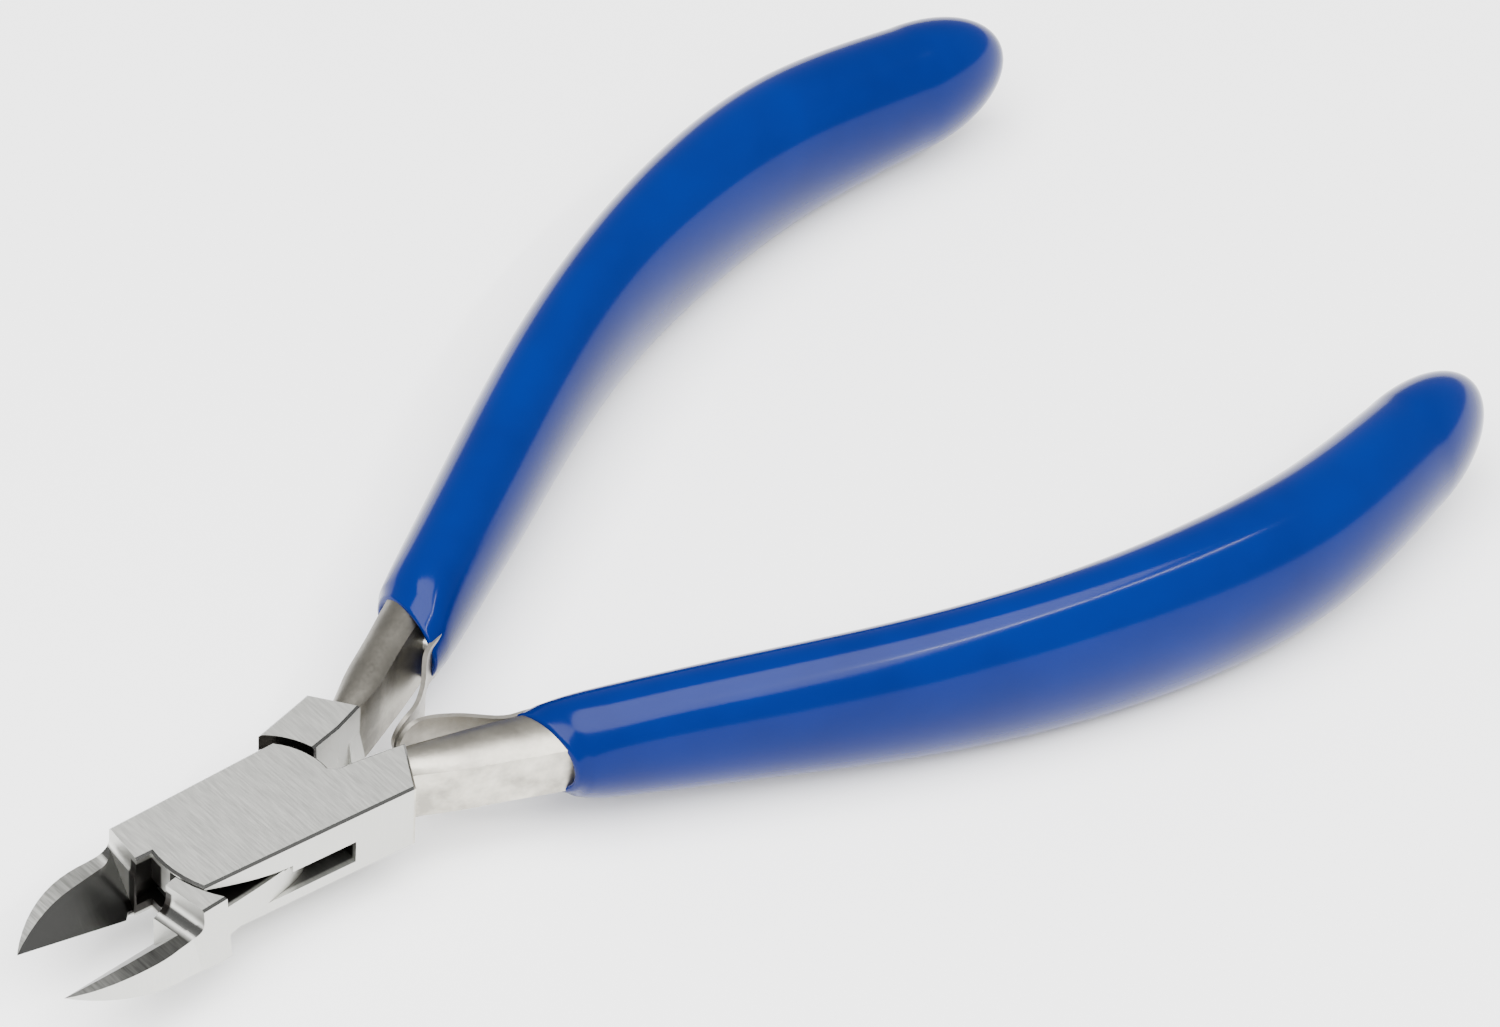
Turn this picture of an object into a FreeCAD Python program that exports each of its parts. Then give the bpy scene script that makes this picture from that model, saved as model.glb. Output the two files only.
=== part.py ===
"""Flush cut pliers: a box-joint side cutter with dipped handles and two leaf springs.

Frame, in millimetres: the origin is on the pivot axis at the underside of the box joint, +X runs
along the centreline towards the handles, +Y towards the handle of the inner half, and +Z is up.

Each half is drawn closed, with the cutting edges meeting on the X axis, and is then turned about
the pivot by REST_ANGLE, which is where the leaf springs hold it at rest.
"""
import FreeCAD
import Part
import math
import os

V = FreeCAD.Vector
UP = V(0, 0, 1)

# Rest position
REST_ANGLE = 7.3          # each half stands this far open, in degrees

# Box joint
BOX_HEIGHT = 7.2          # thickness of the ground head
BOX_FRONT = 12.0          # pivot to the step in front of the box
BOX_SIDE_FRONT = 4.2      # half width at the front of the box, at the top
BOX_SIDE = 4.95           # half width beside the pivot, on the solid side
BOX_SLOT_SIDE = 5.2       # half width on the side where the slot is open, at the front
BOX_SLOT_SIDE_REAR = 5.45 # the same at the rear
BOX_REAR_OUTER = 11.6     # pivot to the rear end of the box, at its outer edge
BOX_REAR_INNER = 13.5     # the same at the inner edge
FRONT_ARC = 10.3          # radius of the rounded front of the cheeks
REAR_ARC = 6.65           # radius of the rounded rear of the cheeks
FRONT_GAP = 0.55          # between the cheeks' front and the inner half's shoulder
REAR_GAP = 0.9            # between the cheeks' rear and the inner half's rear block
INNER_WALL_BOX = 0.5      # centreline to the box half's wall behind the valley
INNER_WALL_MALE = 1.05    # centreline to the inner half's wall behind the valley
THROAT = 0.45             # half width of the throat behind the cutting edges
EDGE_BREAK = 0.22         # small chamfer along the ground outer edges

# Neck of the inner half, which passes through the slot of the box half
LOWER_CHEEK = 1.45
UPPER_CHEEK = 3.3
NECK_PLAY = 0.05          # above and below the neck
NECK_REACH = 5.4          # from the pivot to the tight end of the neck's curved side
NECK_WALL_PLAY = 0.45     # from there to the slot's end wall, closed
SLOT_UNDERCUT = 1.0       # centreline to the slot's side wall, at both ends
CHEEK_RELIEF_START = 3.8  # radius where the underside of the upper cheek starts to rise
CHEEK_RELIEF_EDGE = 0.45  # what is left of the upper cheek at the box's front corner
NECK_RAMP_START = 4.2     # radius where the top of the neck starts to rise
NECK_SHOULDER = 1.9       # top of the front shoulder down to the neck's high end
SHOULDER_SIDE_FRONT = 4.45  # half width of the shoulder's top face at its front end
SHOULDER_SIDE_REAR = 5.1  # the same at its rear end
SHOULDER_LENGTH = 4.3     # between those two ends
SHOULDER_FLARE = 0.045    # widening of its outer side for each millimetre down

# Pivot pin, riveted over and ground flush
PIN_RADIUS = 2.3          # of its straight part, in the cheeks
PIN_HEAD_RADIUS = 3.1
PIN_HEAD_DEPTH = 0.8
PIN_PLAY = 0.03           # radial, in the neck

# Cutting blades
TIP_REACH = 23.7          # pivot to the tips
TIP_HEIGHT = 2.75         # underside of the box to the tips
EDGE_ROOT_REACH = 13.2    # pivot to the root end of the cutting edges
EDGE_ROOT_HEIGHT = 0.5    # underside of the box to that end
EDGE_GAP = 0.02           # from each edge to the centreline
BLADE_ARC_START = 14.5    # pivot to where the outer side starts to curve in
BLADE_ARC_SIDE = 4.35     # half width there, at the band
BLADE_FLARE = 0.11        # widening of the blade's outer side for each millimetre down
BAND_HEIGHT = 4.35        # underside of the box to the ground band on the blade's back
BAND_ARC_START = 17.0     # pivot to where the band starts to drop to the tip
COVE_RADIUS = 1.5         # concave step from the box's top down to the band
BEVEL_RISE = 1.2          # rise of the inner bevel for each millimetre outwards

# Handles: the steel shank and tang, and the dipped grip
HANDLE_REACH = 109.0      # pivot to the last full section of the grip
HANDLE_BOW = 21.9         # greatest distance of the handle's line from the centreline, closed
GRIP_START = 24.7         # pivot to the middle of the grip's mouth
MOUTH_MIDDLE = 5.69       # centreline to the middle of the mouth, closed
MOUTH_SLANT = 11.5        # the mouth's outer side stands back from its inner side, in degrees
GRIP_NOSE = 11.2          # length of the rounded end
SHANK_CROWN = 0.2         # underneath the box's top to the crown of the shank
SHANK_INNER_EDGE = 0.85   # underneath the box's top to the shank's inner edge
SHANK_OUTER_EDGE = 1.1    # underneath the box's top to the shank's outer edge
TANG_SHORT = 13.0         # from the last full section of the grip back to the end of the steel
TANG_HALF_WIDTH = 2.5     # just inside the grip
TANG_HALF_HEIGHT = 3.2
TANG_END_HALF_WIDTH = 1.7
TANG_END_HALF_HEIGHT = 2.2

# Exposed shank of the inner half, closed: pivot to the section, then the distances from the
# centreline to the inner wall at the bottom, the inner wall at the top, and the outer wall
SHANK_STATIONS = [
    (12.2, 0.60, 1.35, 3.6),
    (14.0, 0.72, 1.62, 4.2),
    (17.0, 1.36, 1.98, 5.5),
    (20.0, 2.03, 3.00, 6.5),
    (22.6, 2.68, 3.85, 7.45),
    (25.2, 3.40, 4.55, 8.35),
]

# Shape of the handle's line and grip: share of the way from the mouth to HANDLE_REACH, share of
# the way from MOUTH_MIDDLE to HANDLE_BOW, half width and half height of the grip there
GRIP_STATIONS = [
    (-0.0202, -0.0322, 3.28, 3.30),
    (0.0000, 0.0000, 3.75, 3.80),
    (0.0238, 0.0421, 3.95, 4.75),
    (0.0690, 0.1245, 4.05, 5.60),
    (0.1854, 0.3407, 4.30, 6.40),
    (0.3600, 0.6663, 4.55, 7.40),
    (0.5255, 0.8945, 4.75, 8.20),
    (0.6858, 1.0000, 5.25, 8.50),
    (0.8461, 0.9703, 5.50, 8.10),
    (1.0000, 0.7717, 5.05, 6.90),
]
NOSE_SHARES = (0.35, 0.62, 0.82, 0.94, 0.985)

# Leaf springs
LEAF_THICKNESS = 0.4
LEAF_HALF_WIDTH = 2.2
LEAF_TIP = 14.9           # pivot to the leaf's tip
LEAF_GAP = 0.15           # from each leaf to the centreline, near the tip
LEAF_STANDOFF = 0.62      # from the shank's wall to the leaf, at the rivet
LEAF_TAIL = 1.5           # length of the leaf behind the rivet
LEAF_SET_BACK = 1.0       # from the grip's mouth to the rivet
POCKET_PLAY = 0.8         # room on both faces of the leaf's root inside the grip, and behind its tail
RIVET_RADIUS = 0.7
RIVET_PLAY = 0.15         # radial, in the leaf
RIVET_DEPTH = 3.0         # length of the rivet in the shank

# Leaf of the inner half at rest, from the grip towards the tip: pivot to the point along
# the centreline, and how far the leaf's middle stands off from where it is at the tip
LEAF_BEND = [
    (23.25, 4.90),
    (20.50, 2.45),
    (19.20, 1.35),
    (17.60, 0.40),
    (16.00, 0.04),
]

MID = BOX_HEIGHT / 2
NECK_LOW = LOWER_CHEEK + NECK_PLAY
NECK_HIGH = BOX_HEIGHT - UPPER_CHEEK - NECK_PLAY


def polar(radius, degrees):
    """Point in the plan at a radius and an angle about the pivot."""
    angle = math.radians(degrees)
    return V(radius * math.cos(angle), radius * math.sin(angle), 0)


def line(a, b):
    return Part.makeLine(V(*a), V(*b))


def arc_between(a, b, radius, side=1):
    """Arc about the pivot from plan point a to plan point b, both at that radius."""
    start = math.degrees(math.atan2(a[1], a[0]))
    end = math.degrees(math.atan2(b[1], b[0]))
    if end - start > 180:
        end -= 360
    if start - end > 180:
        end += 360
    middle = polar(radius, (start + end) / 2)
    return Part.Arc(V(a[0], a[1], 0), middle, V(b[0], b[1], 0)).toShape()


def arc3(a, middle, b):
    return Part.Arc(V(a[0], a[1], 0), V(middle[0], middle[1], 0), V(b[0], b[1], 0)).toShape()


def prism(edges, low, high):
    """Solid on a closed plan outline, between two heights."""
    wire = Part.Wire(Part.__sortEdges__(edges))
    solid = Part.Face(wire).extrude(V(0, 0, high - low))
    solid.translate(V(0, 0, low))
    return solid


def mirrored(shape):
    """The same shape on the other side of the centreline."""
    return shape.mirror(V(0, 0, 0), V(0, 1, 0))


def turned_over(shape):
    """The same shape turned half a turn about the centreline, as the other handle is."""
    turned = shape.copy()
    turned.rotate(V(0, 0, MID), V(1, 0, 0), 180)
    return turned


def broken_prism(edges, low, high):
    """Solid between two heights, on the outline of its top and bottom faces, with broken edges."""
    face = Part.Wire(Part.__sortEdges__(edges))
    side = face.makeOffset2D(EDGE_BREAK, 2)
    layers = []
    for outline, height in ((face, low), (side, low + EDGE_BREAK), (side, high - EDGE_BREAK), (face, high)):
        placed = outline.copy()
        placed.translate(V(0, 0, height))
        layers.append(placed)
    body = Part.makeLoft(layers[1:3], True, True)
    return body.fuse([Part.makeLoft(layers[0:2], True, True), Part.makeLoft(layers[2:4], True, True)])


def at_rest(shape, side):
    """Turn a closed half to where it rests: side -1 for the box half, +1 for the inner half."""
    turned = shape.copy()
    turned.rotate(V(0, 0, 0), UP, side * REST_ANGLE)
    return turned


# ---------------------------------------------------------------- blades

def blade_edge_height(x):
    """Height of the cutting edge, and of the flush underside, at a distance in front of the pivot."""
    slope = (TIP_HEIGHT - EDGE_ROOT_HEIGHT) / (TIP_REACH - EDGE_ROOT_REACH)
    return EDGE_ROOT_HEIGHT + slope * (x - EDGE_ROOT_REACH)


def blade_plan(root, height):
    """Outline of a blade on the +Y side at a height, from the root forward to the tip."""
    wider = (BAND_HEIGHT - height) * BLADE_FLARE
    arc_side = BLADE_ARC_SIDE + wider
    front_side = BOX_SIDE_FRONT + (BOX_HEIGHT - height) * BLADE_FLARE
    run = TIP_REACH - BLADE_ARC_START
    radius = (run ** 2 + arc_side ** 2) / (2 * arc_side)
    half_way = math.asin(run / radius) / 2
    tip = V(-TIP_REACH, EDGE_GAP, height)
    middle = V(-BLADE_ARC_START - radius * math.sin(half_way), 0, height)
    middle.y = arc_side - radius * (1 - math.cos(half_way))
    shoulder = V(-BLADE_ARC_START, arc_side, height)
    side = V(-BOX_FRONT, front_side, height)
    side_root = V(-root, BOX_SIDE_FRONT, height)
    throat = V(-root, THROAT, height)
    throat_front = V(-EDGE_ROOT_REACH + THROAT, THROAT, height)
    edge_root = V(-EDGE_ROOT_REACH, EDGE_GAP, height)
    edges = [
        Part.Arc(tip, middle, shoulder).toShape(),
        Part.makeLine(shoulder, side),
        Part.makeLine(side, side_root),
        Part.makeLine(side_root, throat),
        Part.makeLine(throat, throat_front),
        Part.makeLine(throat_front, edge_root),
        Part.makeLine(edge_root, tip),
    ]
    return Part.Wire(edges)


def band_cutter():
    """What is ground off the blade's back: a cove at the box, a level band, and a drop to the tip."""
    drop = BAND_HEIGHT - TIP_HEIGHT
    run = TIP_REACH - BAND_ARC_START
    radius = (run ** 2 + drop ** 2) / (2 * drop)
    over = 2.0
    reach = run + over
    far_drop = radius - math.sqrt(radius ** 2 - reach ** 2)
    half = reach / 2
    half_drop = radius - math.sqrt(radius ** 2 - half ** 2)
    wide = 2 * BOX_SIDE
    top = BOX_HEIGHT + 1
    cove_start = V(-BOX_FRONT, -wide, BAND_HEIGHT + COVE_RADIUS)
    cove_end = V(-BOX_FRONT - COVE_RADIUS, -wide, BAND_HEIGHT)
    diagonal = COVE_RADIUS * (1 - math.sqrt(0.5))
    cove_mid = V(-BOX_FRONT - diagonal, -wide, BAND_HEIGHT + diagonal)
    level_end = V(-BAND_ARC_START, -wide, BAND_HEIGHT)
    drop_mid = V(-BAND_ARC_START - half, -wide, BAND_HEIGHT - half_drop)
    drop_end = V(-BAND_ARC_START - reach, -wide, BAND_HEIGHT - far_drop)
    top_front = V(drop_end.x, -wide, top)
    top_back = V(-BOX_FRONT, -wide, top)
    edges = [
        Part.makeLine(top_back, cove_start),
        Part.Arc(cove_start, cove_mid, cove_end).toShape(),
        Part.makeLine(cove_end, level_end),
        Part.Arc(level_end, drop_mid, drop_end).toShape(),
        Part.makeLine(drop_end, top_front),
        Part.makeLine(top_front, top_back),
    ]
    return Part.Face(Part.Wire(edges)).extrude(V(0, 2 * wide, 0))


def bevel_cutter():
    """Half-space above the inner bevel, in front of the box."""
    front = TIP_REACH + 2
    rise = 8.0
    corners = []
    for x in (front, BOX_FRONT):
        low = blade_edge_height(x)
        edge = (-x, EDGE_GAP, low)
        outer = (-x, EDGE_GAP + rise / BEVEL_RISE, low + rise)
        inner = (-x, -rise, low)
        top = (-x, -rise, low + rise)
        polygon = Part.makePolygon([V(*edge), V(*outer), V(*top), V(*inner), V(*edge)])
        corners.append(polygon)
    return Part.makeLoft(corners, True, True)


def underside_cutter():
    """What is ground off below the flush underside of the blades."""
    front = TIP_REACH + 2
    slope = (TIP_HEIGHT - EDGE_ROOT_HEIGHT) / (TIP_REACH - EDGE_ROOT_REACH)
    back = EDGE_ROOT_REACH - EDGE_ROOT_HEIGHT / slope
    wide = 2 * BOX_SIDE
    points = [
        V(-back, -wide, 0),
        V(-front, -wide, blade_edge_height(front)),
        V(-front, -wide, -1),
        V(-back, -wide, -1),
        V(-back, -wide, 0),
    ]
    return Part.Face(Part.makePolygon(points)).extrude(V(0, 2 * wide, 0))


def blade(root):
    """One blade with its root block, on the +Y side."""
    body = Part.makeLoft([blade_plan(root, 0), blade_plan(root, BOX_HEIGHT)], True, True)
    body = body.cut(band_cutter())
    return body.cut(bevel_cutter())


# ---------------------------------------------------------------- handles

def station_x(along):
    """Distance from the pivot to a grip station, along the centreline."""
    return GRIP_START + along * (HANDLE_REACH - GRIP_START)


def handle_line():
    """Line of the inner half's handle in the plan, closed."""
    points = []
    for along, bow, half_width, half_height in GRIP_STATIONS:
        points.append(V(station_x(along), MOUTH_MIDDLE + bow * (HANDLE_BOW - MOUTH_MIDDLE), 0))
    curve = Part.BSplineCurve()
    curve.interpolate(points)
    return curve


def frame_at(curve, x):
    """Centre, direction and sideways vector of the handle's line where it crosses x."""
    low, high = curve.FirstParameter, curve.LastParameter
    for step in range(60):
        middle = (low + high) / 2
        if curve.value(middle).x < x:
            low = middle
        else:
            high = middle
    along = curve.tangent(low)[0].normalize()
    sideways = UP.cross(along)
    return curve.value(low), along, sideways


def steel_section(bottom_inner, top_inner, outer, edge, shoulder, crown):
    """Section across the steel as four edges: flat inner and outer walls, domed top and bottom.

    The first three are plan points. The rest are heights over the middle of the tool: of the
    inner edges, of the outer edges, and of the domes' crowns.
    """
    low_inner = V(bottom_inner.x, bottom_inner.y, MID - edge)
    high_inner = V(top_inner.x, top_inner.y, MID + edge)
    high_outer = V(outer.x, outer.y, MID + shoulder)
    low_outer = V(outer.x, outer.y, MID - shoulder)
    high_middle = (high_inner + high_outer) * 0.5
    high_middle.z = MID + crown
    low_middle = (low_inner + low_outer) * 0.5
    low_middle.z = MID - crown
    edges = [
        Part.makeLine(low_inner, high_inner),
        Part.Arc(high_inner, high_middle, high_outer).toShape(),
        Part.makeLine(high_outer, low_outer),
        Part.Arc(low_outer, low_middle, low_inner).toShape(),
    ]
    return Part.Wire(edges)


def steel_handle():
    """Shank and tang of the inner half, closed: one bar that follows the handle's line."""
    sections = []
    for x, bottom_inner, top_inner, outer in SHANK_STATIONS:
        sections.append(steel_section(
            V(x, bottom_inner, 0), V(x, top_inner, 0), V(x, outer, 0),
            MID - SHANK_INNER_EDGE, MID - SHANK_OUTER_EDGE, MID - SHANK_CROWN))
    curve = handle_line()
    count = 6
    first = GRIP_START + 7.0
    last = HANDLE_REACH - TANG_SHORT
    for step in range(count + 1):
        share = step / count
        centre, along, sideways = frame_at(curve, first + (last - first) * share)
        half_width = TANG_HALF_WIDTH + share * (TANG_END_HALF_WIDTH - TANG_HALF_WIDTH)
        half_height = TANG_HALF_HEIGHT + share * (TANG_END_HALF_HEIGHT - TANG_HALF_HEIGHT)
        inner = centre - sideways * half_width
        outer = centre + sideways * half_width
        sections.append(steel_section(
            inner, inner, outer, half_height - 0.3, half_height - 0.6, half_height))
    return Part.makeLoft(sections, True, False)


def grip_body():
    """Outside of the dipped grip of the inner half, closed."""
    curve = handle_line()
    wires = []
    rows = [(station_x(row[0]), row[2], row[3]) for row in GRIP_STATIONS]
    for x, half_width, half_height in rows:
        centre, along, sideways = frame_at(curve, x)
        wires.append(grip_section(centre, sideways, half_width, half_height))
    centre, along, sideways = frame_at(curve, HANDLE_REACH)
    last_width, last_height = rows[-1][1], rows[-1][2]
    for share in NOSE_SHARES:
        size = math.sqrt(1 - share ** 2)
        place = centre + along * (share * GRIP_NOSE)
        wires.append(grip_section(place, sideways, last_width * size, last_height * size))
    return Part.makeLoft(wires, True, False)


def grip_section(centre, sideways, half_width, half_height):
    middle = V(centre.x, centre.y, MID)
    ellipse = Part.Ellipse(middle + UP * half_height, middle + sideways * half_width, middle)
    return Part.Wire(ellipse.toShape())


# ---------------------------------------------------------------- leaf spring and rivet

def rivet_frame():
    """Where the leaf is riveted to the shank: point on the leaf's middle, along, and sideways."""
    last = SHANK_STATIONS[-1]
    before = SHANK_STATIONS[-2]
    x = GRIP_START + LEAF_SET_BACK
    slope = (last[1] - before[1]) / (last[0] - before[0])
    wall = last[1] + slope * (x - last[0])
    along = V(1, slope, 0).normalize()
    sideways = UP.cross(along)
    offset = LEAF_STANDOFF + LEAF_THICKNESS / 2
    return V(x, wall, 0) - sideways * offset, along, sideways


def leaf_middle_line(tail):
    """Middle line of the leaf at rest: along the shank, then out to the centreline and level."""
    place, along, sideways = rivet_frame()
    turn = FreeCAD.Rotation(UP, REST_ANGLE)
    root = turn.multVec(place)
    along = turn.multVec(along)
    lean = LEAF_GAP + LEAF_THICKNESS / 2
    points = [root + along * tail, root, root - along * 0.9]
    for x, offset in LEAF_BEND:
        points.append(V(x, lean + offset, 0))
    points.append(V(LEAF_TIP, lean, 0))
    curve = Part.BSplineCurve()
    curve.interpolate(points)
    return curve


def leaf(thickness, half_width, tail):
    """Leaf of the inner half at rest, as thick, as wide and as long behind the rivet as asked."""
    curve = leaf_middle_line(tail)
    start, end = curve.FirstParameter, curve.LastParameter
    count = 16
    sides = {1: [], -1: []}
    for step in range(count + 1):
        value = start + (end - start) * step / count
        across = UP.cross(curve.tangent(value)[0])
        for side in sides:
            sides[side].append(curve.value(value) + across * (side * thickness / 2))
    edges = []
    for side in (1, -1):
        spline = Part.BSplineCurve()
        spline.interpolate(sides[side])
        edges.append(spline.toShape())
    edges.append(Part.makeLine(sides[1][0], sides[-1][0]))
    edges.append(Part.makeLine(sides[1][-1], sides[-1][-1]))
    return prism(edges, MID - half_width, MID + half_width)


def rounded_leaf():
    """The leaf with its tip rounded as seen from the side."""
    solid = leaf(LEAF_THICKNESS, LEAF_HALF_WIDTH, LEAF_TAIL)
    tip_centre = V(LEAF_TIP + LEAF_HALF_WIDTH, -5, MID)
    disc = Part.makeCylinder(LEAF_HALF_WIDTH, 30, tip_centre, V(0, 1, 0))
    rest = Part.makeBox(30, 30, 2 * LEAF_HALF_WIDTH, V(tip_centre.x, -5, MID - LEAF_HALF_WIDTH))
    return solid.common(disc.fuse(rest))


def rivet_pin(radius, start, end):
    """Cylinder along the rivet's axis at rest, between two distances from the leaf's middle."""
    place, along, sideways = rivet_frame()
    turn = FreeCAD.Rotation(UP, REST_ANGLE)
    axis = turn.multVec(sideways)
    base = turn.multVec(place) + UP * MID + axis * start
    return Part.makeCylinder(radius, end - start, base, axis)


def spring_rivet():
    """Rivet from flush in the leaf into the shank."""
    return rivet_pin(RIVET_RADIUS, -LEAF_THICKNESS / 2, LEAF_STANDOFF + LEAF_THICKNESS / 2 + RIVET_DEPTH)


def spring_leaf():
    hole = rivet_pin(RIVET_RADIUS + RIVET_PLAY, -LEAF_THICKNESS * 2, LEAF_THICKNESS * 2)
    return rounded_leaf().cut(hole)


def leaf_pocket():
    """Room for the leaf's root inside the grip, at rest."""
    return leaf(LEAF_THICKNESS + 2 * POCKET_PLAY, LEAF_HALF_WIDTH + 0.3, LEAF_TAIL + POCKET_PLAY)


# ---------------------------------------------------------------- the two halves

def cheek_plan():
    """Plan of the box: notch, side, rounded rear, valley, rear end, side and rounded front."""
    throat = THROAT + 0.05
    front_side = BOX_SIDE_FRONT + 0.03
    side_rear_angle = math.degrees(math.asin(BOX_SIDE / REAR_ARC))
    side_rear = polar(REAR_ARC, side_rear_angle)
    valley_top = polar(REAR_ARC, 1.5)
    valley = (REAR_ARC + 0.65, -INNER_WALL_BOX + 0.15)
    wall_start = (REAR_ARC + 1.7, -INNER_WALL_BOX)
    wall_end = (BOX_REAR_INNER, -INNER_WALL_BOX - 0.6)
    rear_outer = (BOX_REAR_OUTER, -BOX_SLOT_SIDE_REAR)
    front_corner_x = math.sqrt(FRONT_ARC ** 2 - BOX_SLOT_SIDE ** 2)
    front_corner = (-front_corner_x, -BOX_SLOT_SIDE)
    front_end = (-math.sqrt(FRONT_ARC ** 2 - throat ** 2), throat)
    return [
        line((-BOX_FRONT, throat, 0), (-BOX_FRONT, front_side, 0)),
        line((-BOX_FRONT, front_side, 0), side_rear),
        arc_between(side_rear, valley_top, REAR_ARC),
        arc3(valley_top, valley, wall_start),
        line((wall_start[0], wall_start[1], 0), (wall_end[0], wall_end[1], 0)),
        line((wall_end[0], wall_end[1], 0), (rear_outer[0], rear_outer[1], 0)),
        line((rear_outer[0], rear_outer[1], 0), (front_corner[0], front_corner[1], 0)),
        arc_between(front_corner, front_end, FRONT_ARC),
        line((front_end[0], front_end[1], 0), (-BOX_FRONT, throat, 0)),
    ]


def slot_cutter():
    """Room for the neck between the cheeks: open at the front on one side and at the rear on the other."""
    wall = NECK_REACH + NECK_WALL_PLAY
    far = 2 * BOX_REAR_INNER
    points = [
        V(-BOX_FRONT, SLOT_UNDERCUT, 0),
        V(-wall, SLOT_UNDERCUT, 0),
        V(-wall, far, 0),
        V(far, far, 0),
        V(far, -INNER_WALL_BOX + 0.1, 0),
        V(wall + 0.3, -SLOT_UNDERCUT, 0),
        V(wall, -SLOT_UNDERCUT - 0.3, 0),
        V(wall, -far, 0),
        V(-BOX_FRONT, -far, 0),
        V(-BOX_FRONT, SLOT_UNDERCUT, 0),
    ]
    solid = Part.Face(Part.makePolygon(points)).extrude(V(0, 0, BOX_HEIGHT - UPPER_CHEEK - LOWER_CHEEK))
    solid.translate(V(0, 0, LOWER_CHEEK))
    return solid


def cheek_relief():
    """Cone that thins the upper cheek towards the box's front corner, over the neck's sweep."""
    low = BOX_HEIGHT - UPPER_CHEEK - 0.5
    high = BOX_HEIGHT - CHEEK_RELIEF_EDGE
    slope = (high - (BOX_HEIGHT - UPPER_CHEEK)) / (FRONT_ARC - CHEEK_RELIEF_START)
    far = FRONT_ARC + 3
    points = [
        V(CHEEK_RELIEF_START, 0, BOX_HEIGHT - UPPER_CHEEK),
        V(far, 0, BOX_HEIGHT - UPPER_CHEEK + slope * (far - CHEEK_RELIEF_START)),
        V(far, 0, low),
        V(CHEEK_RELIEF_START, 0, low),
        V(CHEEK_RELIEF_START, 0, BOX_HEIGHT - UPPER_CHEEK),
    ]
    cone = Part.Face(Part.makePolygon(points)).revolve(V(0, 0, 0), UP, 74)
    cone.rotate(V(0, 0, 0), UP, -168)
    return cone


def neck_plan():
    """Plan of the neck: two straight runs joined by curves that turn back inside the slot."""
    curve_start = 2.4
    side = BOX_SIDE - 0.3
    low_end = (NECK_REACH, -0.9)
    low_mid = (2.3, -3.65)
    low_start = (-curve_start, -side)
    rear_inner = (REAR_ARC + REAR_GAP + 0.5, INNER_WALL_MALE + 0.1)
    rear_outer = (REAR_ARC + REAR_GAP - 0.8, side)
    high_start = (curve_start, side)
    high_mid = (-2.3, 3.65)
    high_end = (-NECK_REACH, 0.9)
    front = FRONT_ARC + FRONT_GAP + 0.2
    front_inner = (-front, -THROAT)
    front_outer = (-front + 1.3, -side)
    return [
        line((front_outer[0], front_outer[1], 0), (low_start[0], low_start[1], 0)),
        arc3(low_start, low_mid, low_end),
        line((low_end[0], low_end[1], 0), (rear_inner[0], rear_inner[1], 0)),
        line((rear_inner[0], rear_inner[1], 0), (rear_outer[0], rear_outer[1], 0)),
        line((rear_outer[0], rear_outer[1], 0), (high_start[0], high_start[1], 0)),
        arc3(high_start, high_mid, high_end),
        line((high_end[0], high_end[1], 0), (front_inner[0], front_inner[1], 0)),
        line((front_inner[0], front_inner[1], 0), (front_outer[0], front_outer[1], 0)),
    ]


def neck_ramp():
    """Upper part of the neck, which rises on a cone from the pivot to the front shoulder."""
    top = BOX_HEIGHT - NECK_SHOULDER
    reach = FRONT_ARC + FRONT_GAP
    slope = (top - NECK_HIGH) / (reach - NECK_RAMP_START)
    far = reach + 0.6
    points = [
        V(NECK_RAMP_START, 0, NECK_HIGH),
        V(far, 0, NECK_HIGH + slope * (far - NECK_RAMP_START)),
        V(far, 0, NECK_HIGH - 0.3),
        V(NECK_RAMP_START, 0, NECK_HIGH - 0.3),
        V(NECK_RAMP_START, 0, NECK_HIGH),
    ]
    cone = Part.Face(Part.makePolygon(points)).revolve(V(0, 0, 0), UP, 52)
    cone.rotate(V(0, 0, 0), UP, -167)
    return cone.common(prism(neck_plan(), NECK_HIGH - 0.2, top + 1))


def polygon(points):
    edges = []
    for first, second in zip(points, points[1:] + points[:1]):
        edges.append(line((first[0], first[1], 0), (second[0], second[1], 0)))
    return edges


def shoulder_plan(height, widening):
    """Outline of the front shoulder at a height, that much wider than its top face."""
    front = BOX_FRONT + 0.3
    side_front = SHOULDER_SIDE_FRONT + widening
    side_rear = SHOULDER_SIDE_REAR + widening
    points = [
        V(-front - 1.2, -THROAT, height),
        V(-front + SHOULDER_LENGTH, -THROAT, height),
        V(-front + SHOULDER_LENGTH, -side_rear, height),
        V(-front, -side_front, height),
        V(-front - 1.2, -side_front + 0.55, height),
        V(-front - 1.2, -THROAT, height),
    ]
    return Part.makePolygon(points)


def front_shoulder():
    """Full-height block between the neck and the lower blade, with a concave rear."""
    low = shoulder_plan(0, EDGE_BREAK + BOX_HEIGHT * SHOULDER_FLARE)
    high = shoulder_plan(BOX_HEIGHT - EDGE_BREAK, EDGE_BREAK)
    top = shoulder_plan(BOX_HEIGHT, 0)
    block = Part.makeLoft([low, high], True, True).fuse(Part.makeLoft([high, top], True, True))
    return block.cut([pin_hole(FRONT_ARC + FRONT_GAP, 0, BOX_HEIGHT), band_cutter()])


def rear_block():
    """Full-height block behind the box, with a concave front and the root of the shank."""
    block = broken_prism(polygon([
        (REAR_ARC - 1.5, INNER_WALL_MALE),
        (REAR_ARC + 4.0, INNER_WALL_MALE),
        (BOX_REAR_INNER, INNER_WALL_MALE + 0.35),
        (BOX_REAR_OUTER, BOX_SIDE + 0.2),
        (REAR_ARC - 1.5, BOX_SIDE + 0.05),
    ]), 0, BOX_HEIGHT)
    return block.cut(pin_hole(REAR_ARC + REAR_GAP, 0, BOX_HEIGHT))


def pin_hole(radius, low, high):
    return Part.makeCylinder(radius, high - low, V(0, 0, low), UP)


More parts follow.
